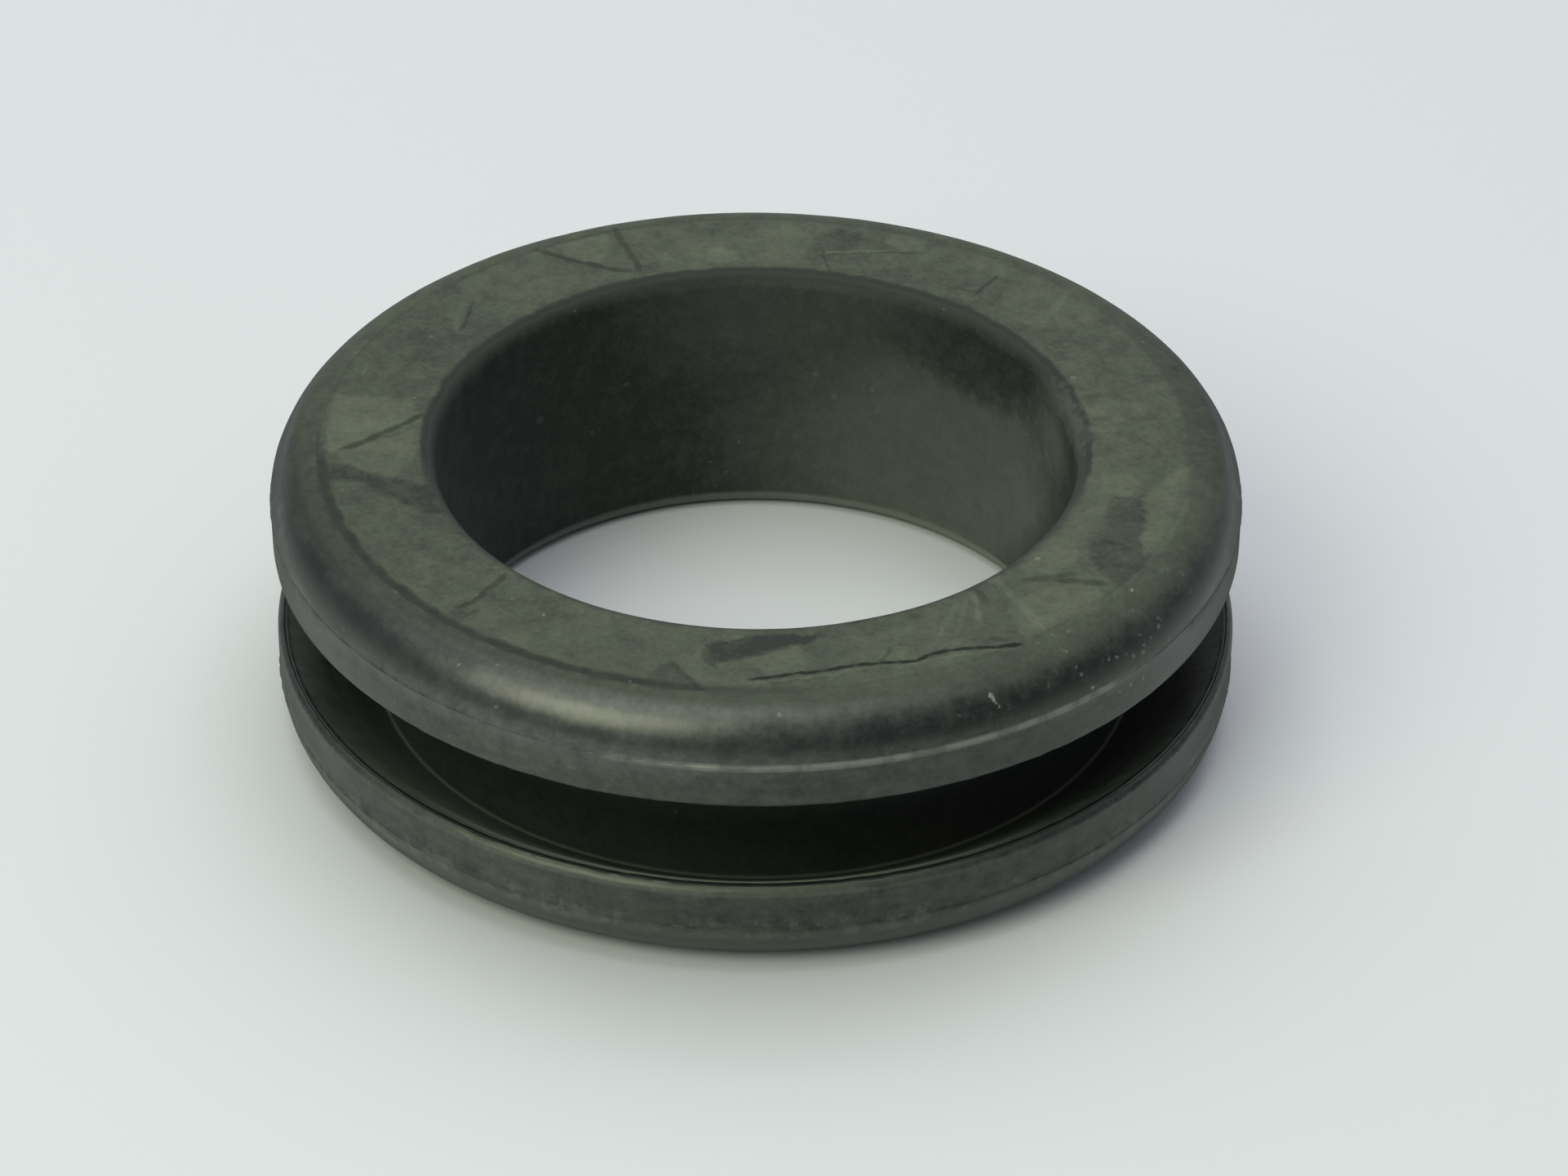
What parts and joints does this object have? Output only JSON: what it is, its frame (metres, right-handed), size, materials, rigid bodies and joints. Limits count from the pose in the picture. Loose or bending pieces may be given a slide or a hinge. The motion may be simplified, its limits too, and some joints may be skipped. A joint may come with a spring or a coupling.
{
  "type": "rubber grommet",
  "caption": "Round moulded rubber grommet with a smooth through bore and two cup-shaped flanges whose lips grip a panel in the groove between them.",
  "frame": {"origin": "centre of the lower flat face, on the bore's axis, where the grommet rests on one flange", "axes": "+Z along the bore's axis, up from the face it rests on; the ring is the same all round, so +X and +Y are any two directions across it"},
  "size_m": [0.0582, 0.0582, 0.0175],
  "materials": {
    "rubber": "matte moulded black rubber with a grey-green bloom"
  },
  "bodies": {
    "root": {"grommet": "rubber"}
  },
  "joints": []
}
